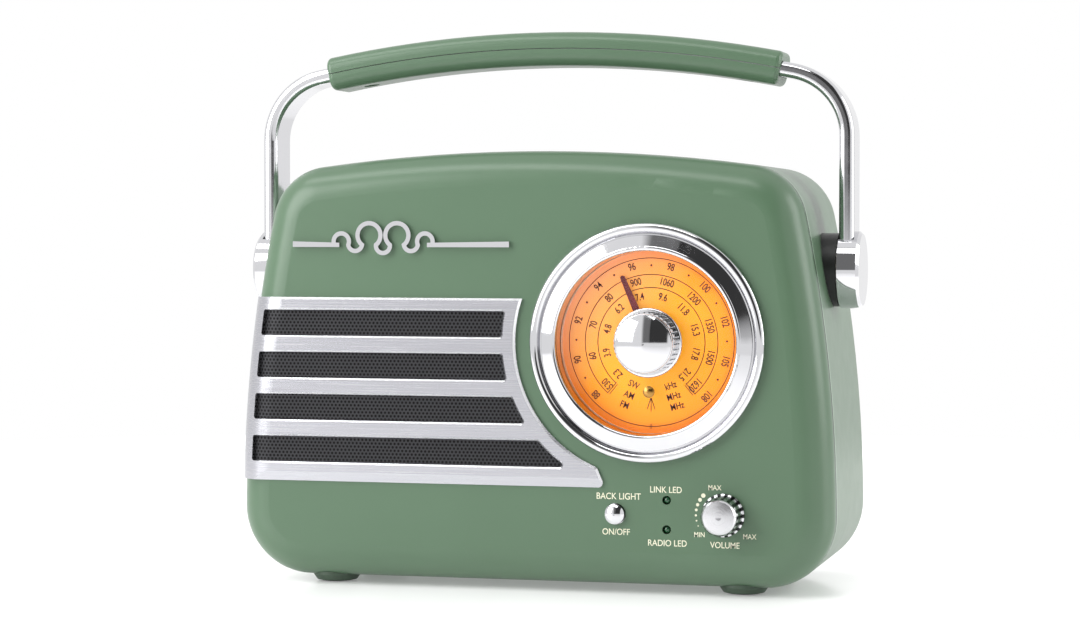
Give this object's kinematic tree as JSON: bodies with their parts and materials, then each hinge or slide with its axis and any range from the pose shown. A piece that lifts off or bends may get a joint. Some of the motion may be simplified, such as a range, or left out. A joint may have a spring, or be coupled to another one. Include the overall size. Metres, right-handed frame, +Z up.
{
  "type": "tabletop radio",
  "caption": "Retro portable tabletop radio with slotted speaker grille, backlit round dial, chrome knobs, folding carry handle and telescopic aerial.",
  "frame": {"origin": "on the floor, under the centre of the whole object at rest", "axes": "+Z up, +X to the radio's right as seen from the front, +Y towards the back"},
  "size_m": [0.2464, 0.109, 0.2172],
  "materials": {
    "green_plastic": "satin sage green moulded plastic",
    "brushed_silver": "brushed silver",
    "black_mesh": "fine black punched mesh",
    "chrome_trim": "polished chrome plate",
    "clear_plastic": "clear acrylic",
    "dial_print": "translucent, backlit orange, printed",
    "white_plastic": "white moulded plastic",
    "lamp": "warm surface lamps",
    "maroon_plastic": "maroon moulded plastic",
    "brass": "domed, dull",
    "steel": "zinc plated",
    "chrome_tube": "polished",
    "black_plastic": "black moulded plastic",
    "circuit_board": "green solder mask",
    "component_black": "moulded components",
    "green_light": "dark green tinted lens",
    "magnet": "zinc plate over ferrite",
    "paper_cone": "black paper",
    "soft_rubber": "soft black rubber",
    "ferrite": "sintered ferrite",
    "copper_wire": "enamelled copper winding",
    "battery_wrap": "shrink sleeve",
    "spring_steel": "nickel plated",
    "nylon": "nylon"
  },
  "bodies": {
    "case": {"aerial_coil": "copper_wire", "aerial_screw": "steel", "aux_jack": "black_plastic", "backlight_board": "circuit_board", "backlight_lamps": "lamp", "badge": "chrome_trim", "band_switch": "black_plastic", "battery_cell": "battery_wrap", "battery_contacts": "spring_steel", "board_components": "component_black", "button_switch": "black_plastic", "case_screws": "steel", "charging_socket": "spring_steel", "control_board": "circuit_board", "dial_bezel": "chrome_trim", "dial_cup": "white_plastic", "dial_face": "dial_print", "dial_lens": "clear_plastic", "feet": "green_plastic", "ferrite_clips": "black_plastic", "ferrite_rod": "ferrite", "foot_pads": "soft_rubber", "friction_washers": "nylon", "front_shell": "green_plastic", "grille_frame": "brushed_silver", "lens_stud": "brass", "main_board": "circuit_board", "pivot_bolts": "steel", "pivot_spacers": "black_plastic", "rear_shell": "green_plastic", "speaker_baffle": "black_plastic", "speaker_basket": "black_plastic", "speaker_cone": "paper_cone", "speaker_dust_cap": "paper_cone", "speaker_magnet": "magnet", "speaker_mesh": "black_mesh", "speaker_screws": "steel", "speaker_surround": "soft_rubber", "status_lights": "green_light", "tuning_capacitor": "black_plastic", "volume_control": "black_plastic"},
    "handle": {"handle_bail": "chrome_trim", "grip_upper": "green_plastic", "grip_lower": "green_plastic", "grip_screws": "steel", "pivot_caps": "chrome_trim"},
    "tuner": {"tuning_knob": "chrome_trim", "tuning_knob_cap": "chrome_trim", "tuning_shaft": "steel", "pointer": "maroon_plastic"},
    "volume": {"volume_knob": "chrome_trim", "volume_shaft": "steel"},
    "button": {"backlight_button": "chrome_trim"},
    "band_selector": {"band_switch_knob": "black_plastic"},
    "door": {"battery_door": "green_plastic"},
    "aerial": {"aerial_knuckle": "chrome_tube", "aerial_tube_1": "chrome_tube"},
    "aerial_second_tube": {"aerial_tube_2": "chrome_tube"},
    "aerial_third_tube": {"aerial_tube_3": "chrome_tube"},
    "aerial_tip": {"aerial_tip_section": "chrome_tube"}
  },
  "joints": [
    {"name": "handle_hinge", "type": "hinge", "parent": "case", "child": "handle", "pos_m": [0, 0.00345, 0.1234], "axis": [1, 0, 0], "range_deg": [-90, 90]},
    {"name": "tuning_turn", "type": "hinge", "parent": "case", "child": "tuner", "pos_m": [0.0474, -0.04355, 0.096], "axis": [0, 1, 0], "range_deg": [-108, 155]},
    {"name": "volume_turn", "type": "hinge", "parent": "case", "child": "volume", "pos_m": [0.0771, -0.04355, 0.0313], "axis": [0, 1, 0], "range_deg": [-135, 135]},
    {"name": "button_press", "type": "slide", "parent": "case", "child": "button", "axis": [0, 1, 0], "range_m": [0, 0.0008], "stiffness_N_per_m": 1500, "springref_m": -0.001},
    {"name": "band_select", "type": "slide", "parent": "case", "child": "band_selector", "axis": [1, 0, 0], "range_m": [-0.004, 0.004]},
    {"name": "door_hinge", "type": "hinge", "parent": "case", "child": "door", "pos_m": [0, 0.05345, 0.017], "axis": [-1, 0, 0], "range_deg": [0, 90]},
    {"name": "aerial_turn", "type": "hinge", "parent": "case", "child": "aerial", "pos_m": [0.074, 0.04845, 0.156], "axis": [0, 1, 0], "range_deg": [0, 110]},
    {"name": "aerial_extend_1", "type": "slide", "parent": "aerial", "child": "aerial_second_tube", "axis": [-1, 0, 0], "range_m": [0, 0.105]},
    {"name": "aerial_extend_2", "type": "slide", "parent": "aerial_second_tube", "child": "aerial_third_tube", "axis": [-1, 0, 0], "range_m": [0, 0.105]},
    {"name": "aerial_extend_3", "type": "slide", "parent": "aerial_third_tube", "child": "aerial_tip", "axis": [-1, 0, 0], "range_m": [0, 0.105]}
  ],
  "couplings": [
    {"joint": "aerial_extend_2", "follows": "aerial_extend_1", "ratio": 1},
    {"joint": "aerial_extend_3", "follows": "aerial_extend_1", "ratio": 1}
  ]
}
